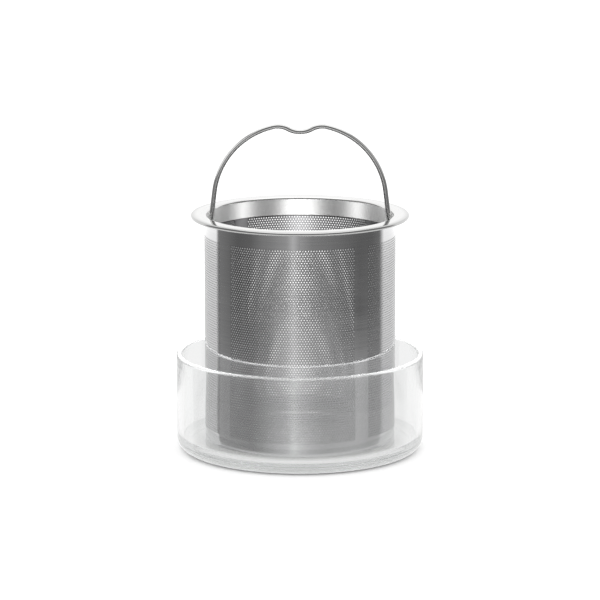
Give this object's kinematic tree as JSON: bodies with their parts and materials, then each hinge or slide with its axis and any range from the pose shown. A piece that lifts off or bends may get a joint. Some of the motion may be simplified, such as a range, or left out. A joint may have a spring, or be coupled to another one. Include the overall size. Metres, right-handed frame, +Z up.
{
  "type": "strainer basket with drip dish",
  "caption": "Etched stainless strainer basket with a beaded rim flange and a folding wire bail, standing in a short clear glass drip dish.",
  "frame": {"origin": "middle of the dish's underside, on the table", "axes": "+Z up along the basket's axis, X along the bail's turning axis, the picture is seen from -Y"},
  "size_m": [0.091, 0.091, 0.1207],
  "materials": {
    "glass": "clear borosilicate glass, polished",
    "polished_steel": "polished stainless sheet",
    "etched_steel": "bright etched stainless sheet",
    "pressed_steel": "satin pressed stainless sheet",
    "wire_steel": "drawn stainless wire"
  },
  "bodies": {
    "dish": {"glass_dish": "glass"},
    "basket": {"rim_flange": "polished_steel", "strainer_wall": "etched_steel", "base_pan": "pressed_steel"},
    "bail": {"bail_handle": "wire_steel"}
  },
  "joints": [
    {"name": "basket_lift", "type": "slide", "parent": "dish", "child": "basket", "axis": [0, 0, 1], "range_m": [0, 0.1]},
    {"name": "bail_swing", "type": "hinge", "parent": "basket", "child": "bail", "pos_m": [0, 0, 0.0851], "axis": [1, 0, 0], "range_deg": [-76, 76]}
  ]
}
